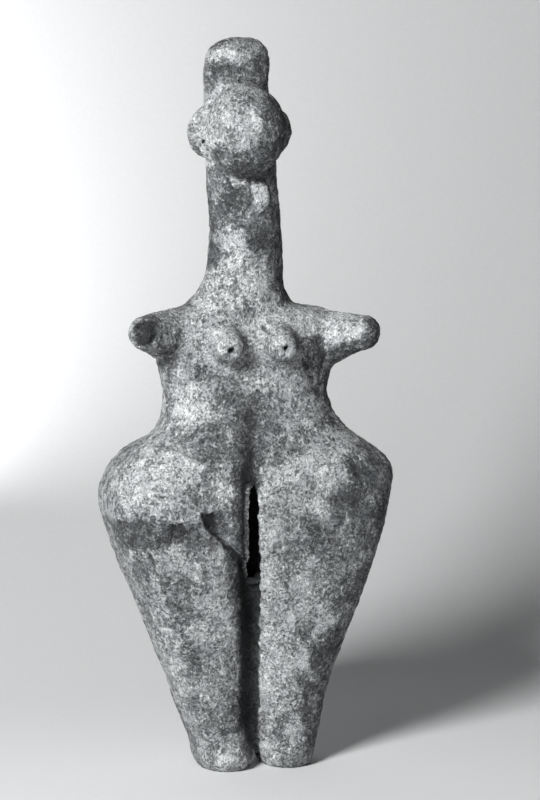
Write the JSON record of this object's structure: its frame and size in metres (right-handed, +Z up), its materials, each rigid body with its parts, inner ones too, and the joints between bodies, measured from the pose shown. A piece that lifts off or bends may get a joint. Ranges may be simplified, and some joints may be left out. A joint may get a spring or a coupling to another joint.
{
  "type": "figurine",
  "caption": "Standing fired-clay female figurine with a long neck, ball head, ear discs, stub arms and broad hips that taper to small feet.",
  "frame": {"origin": "middle of the bounding box at the level of the soles", "axes": "+Z up from the soles to the top of the head, the figure faces -Y, and its right arm is at -X"},
  "size_m": [0.1192, 0.0719, 0.3003],
  "materials": {
    "fired_clay": "unglazed, matte, mottled and worn"
  },
  "bodies": {
    "root": {"figurine": "fired_clay"}
  },
  "joints": []
}
